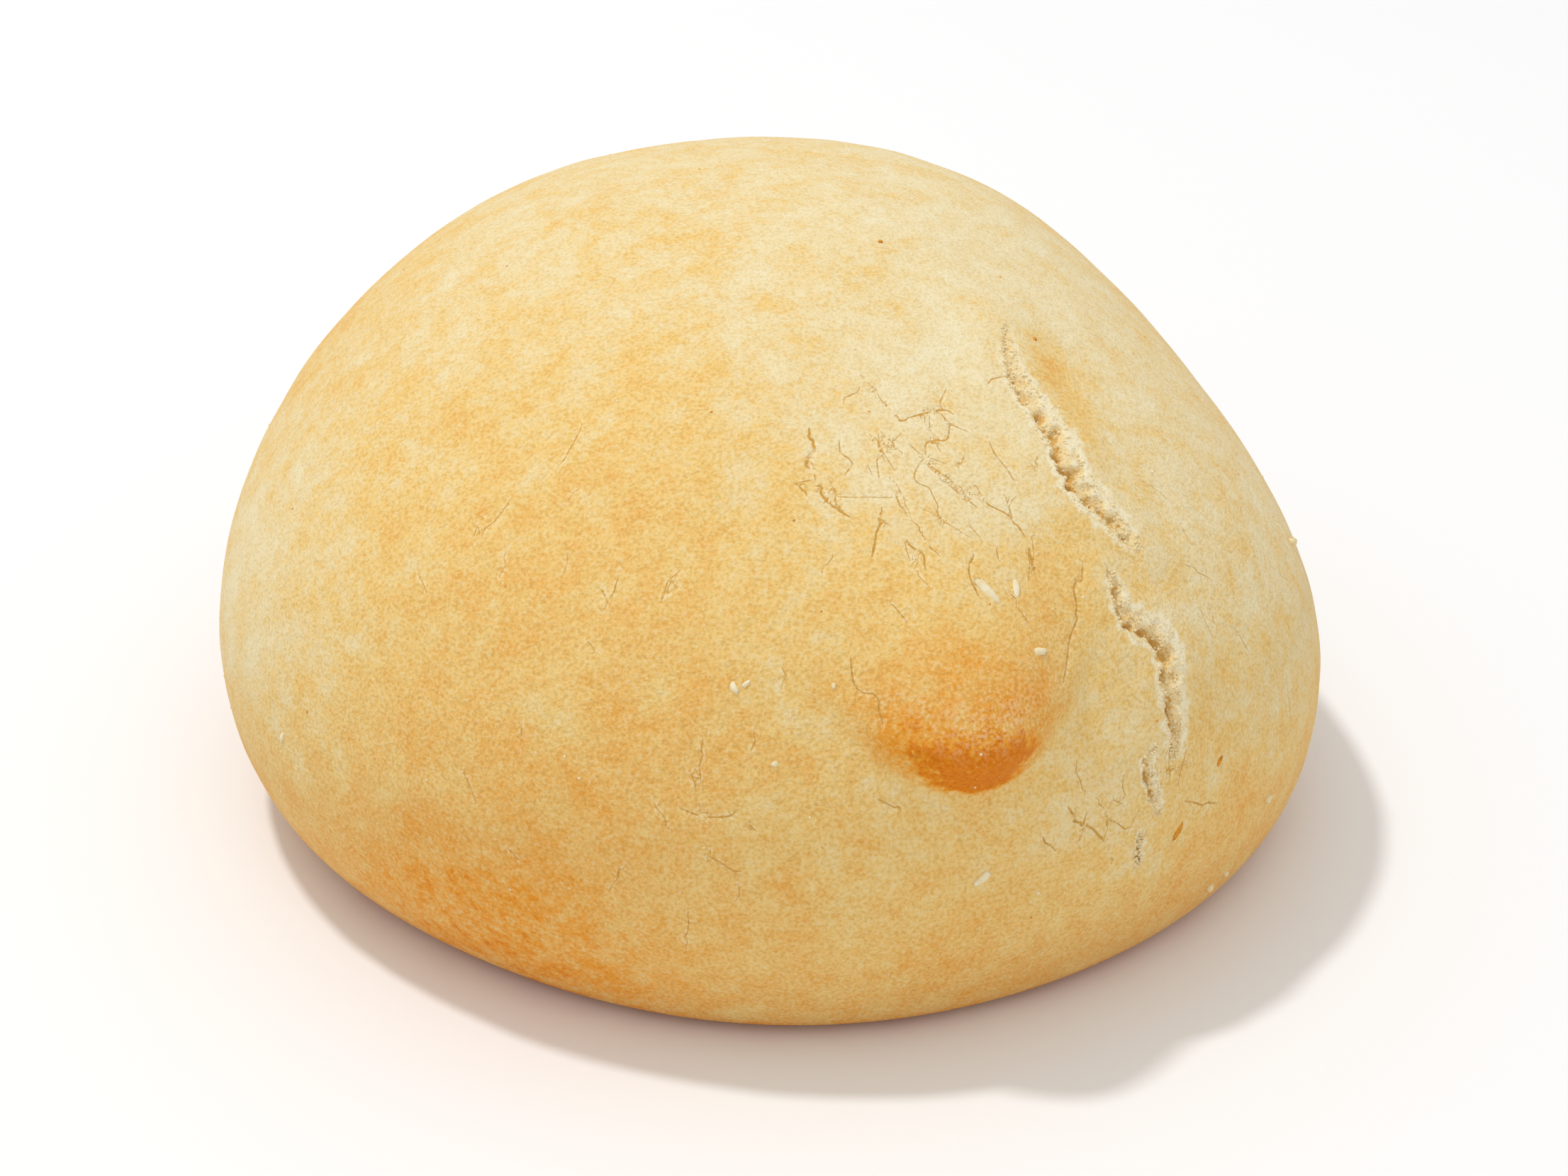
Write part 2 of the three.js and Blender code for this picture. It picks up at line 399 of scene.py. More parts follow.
class CrustColours(bpy.types.PropertyGroup):
    """The colours of the crust, the crumb and what lies on them"""

    pale: colour_property("Pale", "Driest, palest crust", (0.80, 0.71, 0.47))
    cream: colour_property("Cream", "Unbrowned crust", (0.78, 0.64, 0.36))
    gold: colour_property("Gold", "Lightly baked crust", (0.79, 0.55, 0.20))
    tan: colour_property("Tan", "Well baked crust", (0.78, 0.44, 0.115))
    toast: colour_property("Toast", "Browned crust", (0.78, 0.32, 0.026))
    scorch: colour_property("Scorch", "Darkest edge of the knob", (0.68, 0.20, 0.002))
    flour: colour_property("Flour", "Dusty torn edges and flour", (0.84, 0.75, 0.52))
    crumb: colour_property("Crumb", "Torn crumb", (0.83, 0.67, 0.38))
    # Pits: partly browner crumb and partly painted shade in the tears' deeper pits.
    pit: colour_property("Pits", "Depths of the torn crumb", (0.66, 0.39, 0.105))
    crack: colour_property("Cracks", "Depths of the cracks", (0.60, 0.32, 0.06))
    bran: colour_property("Bran", "Specks of bran", (0.55, 0.22, 0.025))


class StudioSetting(bpy.types.PropertyGroup):
    """The floor, the lights and the camera"""

    floor: colour_property("Floor", "Pale floor", (0.86, 0.86, 0.86))
    key_power: power_property("Key power", "Power of the key light", 4.0)
    key_width: length_property("Key width", "Width of the key light", 0.08)
    light_distance: length_property("Light distance", "Distance of both lights", 1.0)
    front_power: power_property("Front power", "Power of the front light", 0.8)
    front_width: length_property("Front width", "Width of the front light", 0.7)
    fill: number_property("Fill", "Strength of the even light from all round", 0.74)
    lens: FloatProperty(name="Lens", description="Focal length", default=85, unit="CAMERA")
    elevation: angle_property("Elevation", "Camera's angle above the horizon", 30)
    distance: length_property("Distance", "From the camera to its aim", 0.32943)
    aim: FloatVectorProperty(
        name="Aim",
        description="Point the camera looks at",
        default=(1.23 * MM, -0.33 * MM, 17.69 * MM),
        subtype="XYZ",
    )


class RollSettings(bpy.types.PropertyGroup):
    """Everything that a user would change"""

    bun: PointerProperty(type=BunShape)
    knob: PointerProperty(type=KnobShape)
    split: PointerProperty(type=SplitShape)
    colours: PointerProperty(type=CrustColours)
    studio: PointerProperty(type=StudioSetting)


def towards(bearing, altitude):
    """Unit directions from the heart: the bearing turns from -Y to +X, and the altitude lifts to +Z."""
    bearing, altitude = np.radians(np.broadcast_arrays(bearing, altitude)).astype(float)
    level = np.cos(altitude)
    return np.stack((level * np.sin(bearing), -level * np.cos(bearing), np.sin(altitude)), axis=-1)


def unit(vectors):
    """Vectors of the same directions, of length 1."""
    return vectors / np.linalg.norm(vectors, axis=-1, keepdims=True)


def dot(first, second):
    """Row by row scalar products."""
    return np.einsum("...i,...i->...", first, second)


def smooth_step(low, high, value):
    """0 below low, 1 above high, and an even S between them."""
    share = np.clip((value - low) / (high - low), 0, 1)
    return share * share * (3 - 2 * share)


def bell(value, width):
    """A bell curve of height 1: e to minus the square of value over width."""
    return np.exp(-((value / width) ** 2))


def grain(points, cell, seed):
    """Gradient noise from about -1 to 1.

    Each corner of a lattice of the given cell has a random slope. Within a cell, the heights that the
    eight corners' slopes give are blended by the quintic ease of the place in the cell.
    """
    draws = np.random.default_rng(seed)
    slopes = unit(draws.normal(size=(LATTICE, 3)))
    shuffle = draws.permutation(LATTICE)
    place = points / cell
    corner = np.floor(place).astype(int)
    share = place - corner
    ease = share**3 * (share * (share * 6 - 15) + 10)
    height = np.zeros(len(points))
    for step in itertools.product((0, 1), repeat=3):
        x, y, z = ((corner + step) % LATTICE).T
        slope = slopes[shuffle[(shuffle[(shuffle[x] + y) % LATTICE] + z) % LATTICE]]
        weight = np.prod(np.where(step, ease, 1 - ease), axis=1)
        height += weight * dot(slope, share - step)
    return GRAIN_HEIGHT * height


def cube_sphere(cells):
    """Unit directions and quads of a cube's six gridded faces, blown up to a sphere, with edges shared.

    The grid lines lie at the tangents of even angles, so that the cells come out alike.
    """
    even = np.tan(np.linspace(-math.pi / 4, math.pi / 4, cells + 1))
    u, v = np.meshgrid(even, even, indexing="ij")
    one = np.ones_like(u)
    faces = ((one, u, v), (-one, v, u), (v, one, u), (u, -one, v), (u, v, one), (v, u, -one))
    directions = unit(np.stack([np.stack(face, axis=-1) for face in faces]).reshape(-1, 3))
    number = np.arange(len(directions)).reshape(6, cells + 1, cells + 1)
    corners = (number[:, :-1, :-1], number[:, 1:, :-1], number[:, 1:, 1:], number[:, :-1, 1:])
    quads = np.stack(corners, axis=-1)
    rounded = np.round(directions, MERGE_DIGITS)
    _, first, shared = np.unique(rounded, axis=0, return_index=True, return_inverse=True)
    return directions[first], shared.ravel()[quads.reshape(-1, 4)]


def crowd(directions, focus, pull):
    """Directions crowded towards the focus, and the share to which cells shrink there.

    This is the sphere's map onto itself that keeps every angle: add the focus times the pull, invert in
    the sphere, and add the focus times the pull again.
    """
    lean = pull * focus
    aim = directions + lean
    share = (1 - pull**2) / dot(aim, aim)
    return unit(aim * share[:, None] + lean), share


class Bun:
    """The smooth dough of the roll.

    In each direction from the heart, the radius is that of a squared-off ellipsoid, swelled and hollowed by
    the waves, and no longer than the way to the tray. The smaller of the two is taken softly, by adding
    high powers of their inverses, which rounds the base's edge.
    """

    def __init__(self, shape):
        self.shape = shape
        self.heart = np.array((0, 0, shape.belly_height))
        probes = self.point(cube_sphere(PROBE_CELLS)[0])
        self.heart[:2] -= (probes.min(axis=0) + probes.max(axis=0))[:2] / 2

    def radius(self, directions):
        """The radius in unit directions."""
        shape = self.shape
        level = np.hypot(directions[:, 0], directions[:, 1]) / shape.half_width
        height = np.abs(directions[:, 2]) / shape.crown_rise
        dome = (level**shape.dome_power + height**shape.dome_power) ** (-1 / shape.dome_power)
        lean = math.radians(LEAN_ALTITUDE)
        spin = directions[:, 0] + 1j * (directions @ (0, math.sin(lean), math.cos(lean)))
        waves = np.ones(len(directions))
        for lobes, share, turn in WAVES:
            waves += share * np.real((spin * np.exp(-1j * math.radians(turn))) ** lobes)
        tray = shape.belly_height / np.maximum(-directions[:, 2], LEAST_FALL)
        power = shape.edge_power
        return ((dome * waves) ** -power + tray**-power) ** (-1 / power)

    def point(self, directions):
        """The bun's points in unit directions."""
        return self.heart + directions * self.radius(directions)[:, None]

    def outward(self, points):
        """Unit normals at points, by the slope of their distance from the heart over the radius there."""
        slope = np.zeros_like(points)
        for axis in range(3):
            step = np.zeros(3)
            step[axis] = SLOPE_STEP
            for sign in (1, -1):
                arm = points + sign * step - self.heart
                reach = np.linalg.norm(arm, axis=1)
                slope[:, axis] += sign * reach / self.radius(arm / reach[:, None])
        return unit(slope)

    def under(self, points):
        """The bun's points on the same rays from the heart as other points."""
        return self.point(unit(points - self.heart))


def smooth_line(knots, steps=16):
    """A Catmull-Rom curve through the knots, with a number of steps from each to the next."""
    ends = np.concatenate((2 * knots[:1] - knots[1:2], knots, 2 * knots[-1:] - knots[-2:-1]))
    share = np.arange(steps)[:, None] / steps
    powers = share ** np.arange(4)
    weights = powers @ (np.array(((0, 2, 0, 0), (-1, 0, 1, 0), (2, -5, 4, -1), (-1, 3, -3, 1))) / 2)
    spans = np.stack([ends[i : i + 4] for i in range(len(knots) - 1)])
    line = np.einsum("sk,nkc->nsc", weights, spans).reshape(-1, 3)
    return np.concatenate((line, knots[-1:]))


class Seam:
    """A line on the bun, walked in even steps.

    At each step it knows the way ahead, the way out of the crust, and the way to the right, which is the
    outward direction crossed with the way ahead.
    """

    def __init__(self, bun, knots):
        line = smooth_line(knots)
        walked = np.concatenate(((0,), np.cumsum(np.linalg.norm(np.diff(line, axis=0), axis=1))))
        self.length = walked[-1]
        count = max(LEAST_STATIONS, round(self.length / SEAM_STEP) + 1)
        self.along = np.linspace(0, self.length, count)
        self.places = bun.under(np.stack([np.interp(self.along, walked, axis) for axis in line.T], axis=1))
        self.aim(bun)

    def zigzag(self, bun, stray, bend, draws):
        """Shifts the line sideways at random corners, with straight stretches between them."""
        inner = draws.uniform(0, self.length, round(self.length / bend))
        corners = np.sort(np.concatenate(((0, self.length), inner)))
        shift = np.interp(self.along, corners, draws.uniform(-stray, stray, len(corners)))
        self.places = self.places + self.right * shift[:, None]
        self.aim(bun)
        return self

    def aim(self, bun):
        """Works out the directions at each step."""
        self.out = bun.outward(self.places)
        self.ahead = unit(np.gradient(self.places, axis=0))
        self.right = unit(np.cross(self.out, self.ahead))

    def locate(self, points, reach):
        """The points within reach: which they are, how far along they lie, and how far to the right."""
        middle = self.places.mean(axis=0)
        spread = np.linalg.norm(self.places - middle, axis=1).max()
        near = np.flatnonzero(np.linalg.norm(points - middle, axis=1) < spread + reach)
        arms = points[near] - middle
        stations = self.places - middle
        gaps = dot(stations, stations)[None] - 2 * arms @ stations.T
        step = gaps.argmin(axis=1)
        arm = arms - stations[step]
        return near, self.along[step] + dot(arm, self.ahead[step]), dot(arm, self.right[step])


def route_seam(bun, route):
    """A seam through places given by bearing and altitude."""
    return Seam(bun, bun.point(towards(*np.transpose(route))))


def knob_frame(bun, knob):
    """The knob's middle on the bun, and the directions across it and up it along the crust."""
    middle = bun.point(towards(math.degrees(knob.bearing), math.degrees(knob.altitude))[None])
    out = bun.outward(middle)[0]
    across = unit(np.cross((0, 0, 1), out))
    return middle[0], out, across, np.cross(out, across)


def knob_place(bun, knob, points):
    """How far points lie across the knob and above its brow, and which lie behind the roll.

    The brow curls up to both sides, by the arch times the square of the way across.
    """
    middle, out, across, up = knob_frame(bun, knob)
    arm = points - middle
    side = arm @ across
    return side, arm @ up - knob.arch * side**2, arm @ out < -bun.shape.crown_rise


def knob_rise(bun, knob, points):
    """The knob's height: a bell across, a long bell above its brow, and a blunter, short one below it."""
    side, above, behind = knob_place(bun, knob, points)
    fall = np.where(above > 0, bell(above, knob.above), np.exp(-(np.abs(above / knob.below) ** 3)))
    return np.where(behind, 0, knob.rise * bell(side, knob.half_width) * fall)


def tear_opening(share, lean):
    """A tear's share of its full width along its length: none at the tips."""
    return np.sqrt(np.sin(math.pi * share**lean))


def tear_fields(bun, split, points):
    """The tears' depth, lips, sunken share and dusty rims at points on the bun.

    Along a tear run pits, about one for each pitch, where noise and a beat along the tear add up. Across it,
    the floor drops steeply inside the left edge and climbs slowly to the right edge. The edges stray by
    noise. The lips fade as bells from the edges outwards, and the dusty rims are bells beside the edges.
    """
    fields = {name: np.zeros(len(points)) for name in ("depth", "lip", "sunk", "rim")}
    fray = FRAY_SHARE * grain(points, FRAY_WAVE, SEED + 3)
    stray = split.ragged * (grain(points, EDGE_WAVE, SEED + 2) + fray)
    hollows = grain(points, PIT_WAVE, SEED + 4)
    rough = ROUGH_SHARE * grain(points, ROUGH_WAVE, SEED + 7)
    for half_width, depth, lean, route in TEARS:
        seam = route_seam(bun, route)
        near, along, side = seam.locate(points, LIP_REACH * split.lip_width)
        share = np.clip(along / seam.length, 0, 1)
        opening = tear_opening(share, lean)
        half = np.maximum(half_width * opening, TIP_HALF_WIDTH)
        beyond = np.maximum(np.maximum(-along, along - seam.length), 0)
        gap = np.hypot(np.maximum(np.abs(side) - half, 0), beyond)
        beat = np.cos(2 * math.pi * along / split.pit_pitch)
        pit = smooth_step(*PIT_RANGE, hollows[near] + PIT_BEAT * beat)
        left = -half * (LEFT_SHARE + (1 - LEFT_SHARE) * pit) + stray[near]
        right = half * (RIGHT_SHARE + (1 - RIGHT_SHARE) * pit) + stray[near]
        across = (side - left) / np.maximum(right - left, LEAST_WIDTH)
        inside = np.where(beyond > TIP_HALF_WIDTH, 0, 1)
        wall = smooth_step(*WALL_RANGE, across)
        bed = np.clip((BED_END - across) / BED_LENGTH, 0, 1) ** BED_POWER
        pitted = FLOOR_SHARE + (1 - FLOOR_SHARE) * pit
        hollow = inside * wall * bed * pitted * opening * (1 + rough[near])
        left_rim = bell((side - left) / half_width + LEFT_RIM[0], LEFT_RIM[1])
        right_rim = bell((side - right) / half_width - RIGHT_RIM[0], RIGHT_RIM[1])
        rim = inside * np.sqrt(opening) * np.maximum(left_rim, right_rim)
        for name, value in (
            ("depth", depth * hollow),
            ("lip", split.lip_rise * bell(gap, split.lip_width)),
            ("sunk", hollow),
            ("rim", rim),
        ):
            fields[name][near] = np.maximum(fields[name][near], value)
    return fields


def crack_seams(bun, split):
    """The cracks and the hairlines scattered among them with their weights, and twigs off some of them."""
    draws = np.random.default_rng(SEED)
    lines = [(weight, bun.point(towards(*np.transpose(route)))) for weight, route in CRACKS]
    for bearing, altitude, spread, count in HAIRLINE_ZONES:
        places = bun.point(towards(*draws.normal((bearing, altitude), spread, (count, 2)).T))
        ahead, _ = turned(bun.outward(places), draws.normal(math.pi / 2, HAIRLINE_SLANT, count))
        for place, heading, reach in zip(places, ahead, draws.uniform(*HAIRLINE_LENGTHS, count)):
            knots = bun.under(place + np.outer((0, 0.5, 1), heading * reach))
            lines.append((draws.uniform(*HAIRLINE_WEIGHTS), knots))
    seams = []
    for weight, knots in lines:
        seam = Seam(bun, knots).zigzag(bun, split.crack_stray, split.crack_bend, draws)
        seams.append((weight, seam))
        if draws.random() > TWIG_SHARE:
            continue
        step = draws.integers(1, len(seam.places) - 1)
        turn = draws.choice((-1, 1)) * draws.uniform(*TWIG_TURNS)
        heading = seam.ahead[step] * math.cos(turn) + seam.right[step] * math.sin(turn)
        reach = draws.uniform(*TWIG_LENGTHS)
        twig = Seam(bun, bun.under(seam.places[step] + np.outer((0, 0.5, 1), heading * reach)))
        twig.zigzag(bun, TWIG_STRAY * split.crack_stray, split.crack_bend, draws)
        seams.append((TWIG_WEIGHT * weight, twig))
    return seams


def crack_fields(bun, split, points, cell):
    """The nearest crack at each point: its offset to the right, its half width and its depth.

    A crack is as wide as its weight says, and tapers to nothing at both ends. More than a cell or so away
    from a crack its half width turns negative, so that what is drawn within it fades out.
    """
    offset = np.full(len(points), CRACK_REACH)
    half = np.full(len(points), -CRACK_REACH)
    depth = np.zeros(len(points))
    for weight, seam in crack_seams(bun, split):
        near, along, side = seam.locate(points, CRACK_REACH)
        beyond = np.maximum(np.maximum(-along, along - seam.length), 0)
        nearer = np.hypot(side, beyond) < np.abs(offset[near])
        near, along, side, beyond = (values[nearer] for values in (near, along, side, beyond))
        taper = np.sqrt(np.clip(np.minimum(along, seam.length - along) / CRACK_TIP, 0, 1))
        offset[near] = side
        half[near] = split.crack_half_width * weight * taper - beyond
        depth[near] = split.crack_depth * weight * taper
    half -= CRACK_FADE * np.maximum(np.abs(offset) - CRACK_CELLS * cell, 0)
    return offset, half, depth


def patch_sum(bun, points, patches):
    """The sum of soft round patches: each is a bell of the distance from its place."""
    total = np.zeros(len(points))
    for bearing, altitude, radius, strength in patches:
        place = bun.point(towards(bearing, altitude)[None])[0]
        total += strength * bell(np.linalg.norm(points - place, axis=1), radius * MM)
    return total


def dents(bun, points):
    """The dough's soft unevenness: noise of a long and a short wave, which fades towards the base."""
    fade = smooth_step(*DENT_FADE, points[:, 2])
    waves = sum(share * grain(points, wave, SEED + 5 + i) for i, (wave, share) in enumerate(DENT_WAVES))
    return bun.shape.dent * fade * waves


def crust_rise(bun, settings, points):
    """How far the crust stands over the smooth bun, apart from its cracks."""
    tears = tear_fields(bun, settings.split, points)
    return knob_rise(bun, settings.knob, points) + tears["lip"] - tears["depth"] + dents(bun, points), tears


def on_crust(bun, settings, points):
    """The crust's points and outward directions over points of the smooth bun."""
    out = bun.outward(points)
    rise, _ = crust_rise(bun, settings, points)
    return points + out * rise[:, None], out


def make_piece(name, points, quads, material, fields=None):
    """Puts a quad mesh with its fields into the scene, smooth shaded, and fixes it to the roll."""
    mesh = bpy.data.meshes.new(name)
    mesh.from_pydata(points, [], quads)
    for field, values in (fields or {}).items():
        mesh.attributes.new(field, "FLOAT", "POINT").data.foreach_set("value", values.astype(np.float32))
    mesh.shade_smooth()
    mesh.materials.append(material)
    piece = bpy.data.objects.new(name, mesh)
    bpy.context.scene.collection.objects.link(piece)
    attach(piece, BODY)
    return piece


class Finish:
    """The nodes of one material.

    Each method adds a node and gives back the socket that carries its result.
    """

    def __init__(self, name, **shader):
        self.material = bpy.data.materials.new(name)
        self.material.use_nodes = True
        self.tree = self.material.node_tree
        self.shader = self.tree.nodes["Principled BSDF"]
        for socket, value in shader.items():
            self.feed(self.shader.inputs[socket.replace("_", " ")], value)
        self.place = self.node("ShaderNodeTexCoord").outputs["Object"]

    def feed(self, socket, value):
        """Links a socket to a socket, or sets its value."""
        if isinstance(value, bpy.types.NodeSocket):
            self.tree.links.new(value, socket)
        else:
            socket.default_value = value

    def node(self, kind, inputs=(), **settings):
        """A node with its settings and inputs."""
        made = self.tree.nodes.new(kind)
        for name, value in settings.items():
            setattr(made, name, value)
        for key, value in dict(inputs).items():
            self.feed(made.inputs[key], value)
        return made

    def field(self, name):
        """A field of the mesh."""
        return self.node("ShaderNodeAttribute", attribute_name=name).outputs["Fac"]

    def noise(self, size, detail=2.0, roughness=0.5, squeeze=None):
        """Noise whose waves are of a given size in metres, and longer where the place is squeezed."""
        place = self.place
        if squeeze:
            inputs = {0: self.place, 1: squeeze}
            place = self.node("ShaderNodeVectorMath", inputs, operation="MULTIPLY").outputs["Vector"]
        inputs = {"Vector": place, "Scale": 1 / size, "Detail": detail, "Roughness": roughness}
        return self.node("ShaderNodeTexNoise", inputs).outputs["Fac"]

    def math(self, operation, first, second=0.0):
        """Arithmetic on two values."""
        return self.node("ShaderNodeMath", {0: first, 1: second}, operation=operation).outputs["Value"]

    def sum(self, first, *others):
        """The sum of several values."""
        for other in others:
            first = self.math("ADD", first, other)
        return first

    def times(self, first, second):
        """The product of two values."""
        return self.math("MULTIPLY", first, second)

    def scaled(self, value, middle, factor):
        """How far a value lies above a middle, times a factor."""
        return self.times(self.math("SUBTRACT", value, middle), factor)

    def line(self, value, low, high, kind="LINEAR"):
        """A straight line from 0 at low to 1 at high, level outside them."""
        inputs = {"Value": value, "From Min": low, "From Max": high}
        return self.node("ShaderNodeMapRange", inputs, interpolation_type=kind).outputs["Result"]

    def step(self, value, low, high):
        """An S from 0 at low to 1 at high, level outside them."""
        return self.line(value, low, high, "SMOOTHSTEP")

    def mix(self, share, first, second, blend="MIX"):
        """A mix of two colours."""
        inputs = {0: share, 6: self.colour(first), 7: self.colour(second)}
        return self.node("ShaderNodeMix", inputs, data_type="RGBA", blend_type=blend).outputs[2]

    @staticmethod
    def colour(value):
        """A colour with its alpha, or a socket as it is."""
        return value if isinstance(value, bpy.types.NodeSocket) else (*value, 1)

    def bump(self, height, distance, under=None):
        """Normals bumped by a height of 0 to 1 that stands for a distance."""
        inputs = {"Height": height, "Distance": distance}
        if under:
            inputs["Normal"] = under
        return self.node("ShaderNodeBump", inputs).outputs["Normal"]

    def finish(self, colour, normal):
        """Feeds the shader its colour and normals."""
        self.feed(self.shader.inputs["Base Color"], colour)
        self.feed(self.shader.inputs["Normal"], normal)
        return self.material


def crust_finish(colours):
    """Baked crust: its field of baking, mottled by noise, runs through the colours from pale to scorch.

    Over that come flour specks and the dust on the knob, with a painted highlight on its brow, the dusty edges
    of the tears and their spongy floors, which darken in the deeper pits as browner crumb and as painted
    shade, the cracks with their flaking edges, and fine grit. The pits' dark grains also lie on the crust, but
    sparsely, because there only the strongest fine noise brings them out.
    """
    crust = Finish(
        "baked_crust", Roughness=0.72, Specular_IOR_Level=0.1, Sheen_Weight=0.05, Sheen_Roughness=0.5
    )
    fine = crust.noise(FINE_GRAIN, detail=1.5, roughness=0.6)
    coarse = crust.noise(COARSE_GRAIN, detail=2, roughness=0.6)
    mottle = crust.noise(MOTTLE, detail=5, roughness=0.85)
    streaks = crust.noise(STREAK, detail=2, roughness=0.6, squeeze=STREAK_SQUEEZE)
    baked = crust.field("bake")
    blotches = crust.scaled(coarse, NOISE_MIDDLE, COARSE_BAKE)
    streaked = crust.scaled(streaks, NOISE_MIDDLE, STREAK_BAKE)
    bake = crust.sum(
        baked,
        crust.scaled(mottle, NOISE_MIDDLE, MOTTLE_BAKE),
        crust.times(crust.line(baked, *BROWNED), blotches),
        crust.times(crust.field("streaked"), streaked),
    )
    colour = colours.pale
    browner = (colours.cream, colours.gold, colours.tan, colours.toast, colours.scorch)
    for low, high, brown in zip(BAKE_STEPS, BAKE_STEPS[1:], browner):
        colour = crust.mix(crust.line(bake, low, high), colour, brown)
    dusty = crust.line(bake, *DUSTY)
    speck = crust.times(crust.step(fine, *SPECK), dusty)
    colour = crust.mix(crust.times(speck, SPECK_SHARE), colour, colours.flour)
    # Painted highlight and flour grain on the knob's brow.
    dust_and_highlight = crust.times(crust.field("dust_and_highlight"), crust.step(crust.sum(fine, coarse), *DUST_AND_HIGHLIGHT))
    colour = crust.mix(crust.times(dust_and_highlight, DUST_AND_HIGHLIGHT_SHARE), colour, colours.flour)
    dust = crust.sum(crust.field("rim"), crust.scaled(coarse, NOISE_MIDDLE, RIM_RAGGED))
    colour = crust.mix(crust.step(dust, *RIM_DUST), colour, colours.flour)
    sunk = crust.field("sunk")
    colour = crust.mix(crust.step(sunk, *TORN), colour, colours.crumb)
    # Painted shade with browner crumb in the tears' deeper pits, and sparse dark grains on the crust.
    pits_and_shade = crust.sum(sunk, crust.scaled(fine, NOISE_MIDDLE, PITS_AND_SHADE_GRAIN))
    colour = crust.mix(crust.step(pits_and_shade, *PITS_AND_SHADE), colour, colours.pit)
    offset = crust.math("ABSOLUTE", crust.field("crack_offset"))
    inside = crust.math("SUBTRACT", crust.field("crack_half"), offset)
    crack = crust.step(inside, *CRACK_EDGE)
    flake = crust.times(crust.step(inside, *FLAKE_EDGE), crust.step(fine, *FLAKE_GRAIN))
    colour = crust.mix(crust.times(flake, crust.times(dusty, FLAKE_SHARE)), colour, colours.flour)
    colour = crust.mix(crust.times(crack, crust.step(coarse, *CRACK_BREAKS)), colour, colours.crack)
    grit = crust.times(crust.step(fine, *GRIT_GRAIN), crust.line(bake, *GRIT_BAKE))
    colour = crust.mix(grit, colour, GRIT_TINT, "MULTIPLY")
    normal = crust.bump(fine, FINE_BUMP)
    normal = crust.bump(coarse, COARSE_BUMP, normal)
    normal = crust.bump(crack, CRACK_BUMP, normal)
    return crust.finish(colour, normal)


def plain_finish(name, colour, shade, size):
    """A dry, uneven colour: noise of the given size mixes the colour with a darker or paler shade."""
    dry = Finish(name, Roughness=0.85, Specular_IOR_Level=0.2)
    noise = dry.noise(size, detail=3, roughness=0.6)
    return dry.finish(dry.mix(dry.step(noise, *DRY_MIX), colour, shade), dry.bump(noise, DRY_BUMP))


def bake_field(bun, knob, points):
    """How browned the crust is: 0 is cream and 1 is toast.

    It grows from the crown down to the belly, and again to the base's edge. The patches add to it. The knob
    adds the most: a crescent that fades above its brow, a rim under it and a wide glow. Each is a bell
    across, and along it the crescent is an S and the others are bells.
    """
    height = points[:, 2]
    zones = [amount * smooth_step(start, full, height) for start, full, amount in HEIGHT_BAKES]
    side, above, behind = knob_place(bun, knob, points)
    under = smooth_step(*UNDERSIDE, above)
    left = side + TOAST_SHIFT
    crescent = bell(left, CRESCENT_HALF_WIDTH) * under * smooth_step(*CRESCENT_FADE, above)
    rim = bell(left, RIM_HALF_WIDTH) * under * bell(above - RIM_HEIGHT, RIM_SPREAD)
    glow = bell(side, GLOW_HALF_WIDTH) * bell(above - GLOW_HEIGHT, GLOW_SPREAD)
    toast = CRESCENT_BAKE * crescent + RIM_BAKE * rim + GLOW_BAKE * glow
    return CREAM_BAKE + sum(zones) + patch_sum(bun, points, BAKE_PATCHES) + np.where(behind, 0, toast)


def dust_and_highlight_field(bun, knob, points):
    """How much pale dust and painted highlight lie on the knob's brow: a bell across it times a bell along it.
    """
    side, above, behind = knob_place(bun, knob, points)
    dust_and_highlight = bell(side, DUST_AND_HIGHLIGHT_HALF_WIDTH) * bell(above - DUST_AND_HIGHLIGHT_HEIGHT, DUST_AND_HIGHLIGHT_SPREAD)
    return np.where(behind, 0, dust_and_highlight)


def crust_piece(settings):
    """The crust: the bun on a crowded cube sphere, moved along its normals.

    The knob, the lips and the dents raise it, and the tears and the cracks' grooves sink it.
    """
    bun = Bun(settings.bun)
    directions, quads = cube_sphere(CRUST_CELLS)
    directions, share = crowd(directions, towards(*FOCUS), FOCUS_PULL)
    points = bun.point(directions)
    cell = share * settings.bun.half_width * math.pi / 2 / CRUST_CELLS
    offset, half, depth = crack_fields(bun, settings.split, points, cell)
    out = bun.outward(points)
    rise, tears = crust_rise(bun, settings, points)
    groove = depth * bell(offset, GROOVE_SPREAD)
    fields = {
        "bake": bake_field(bun, settings.knob, points),
        "dust_and_highlight": dust_and_highlight_field(bun, settings.knob, points),
        "rim": tears["rim"],
        "sunk": tears["sunk"],
        "streaked": patch_sum(bun, points, STREAK_PATCHES),
        "crack_offset": offset,
        "crack_half": half,
    }
    points = points + out * (rise - groove)[:, None]
    piece = make_piece("crust", points, quads, crust_finish(settings.colours), fields)
    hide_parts(NODE)


def lumps(middles, across, along, out, sizes, seed):
    """Small uneven lumps: spheres of a few faces, with each corner pushed in or out at random.

    Each lump is stretched by its three sizes along its three directions.
    """
    directions, quads = cube_sphere(LUMP_CELLS)
    draws = np.random.default_rng(seed)
    push = draws.uniform(*LUMP_PUSH, (len(middles), len(directions), 1))
    local = directions * push * sizes[:, None]
    axes = np.stack((across, along, out), axis=1)
    points = middles[:, None] + np.einsum("nvk,nkc->nvc", local, axes)
    numbers = np.arange(len(middles))[:, None, None] * len(directions) + quads
    return points.reshape(-1, 3), numbers.reshape(-1, 4)


def turned(out, turn):
    """Two directions in the crust at right angles, the first turned up from level by an angle in radians."""
    level = unit(np.cross((0, 0, 1), out))
    up = np.cross(out, level)
    turn = np.asarray(turn)[:, None]
    first = level * np.cos(turn) + up * np.sin(turn)
    return first, np.cross(out, first)


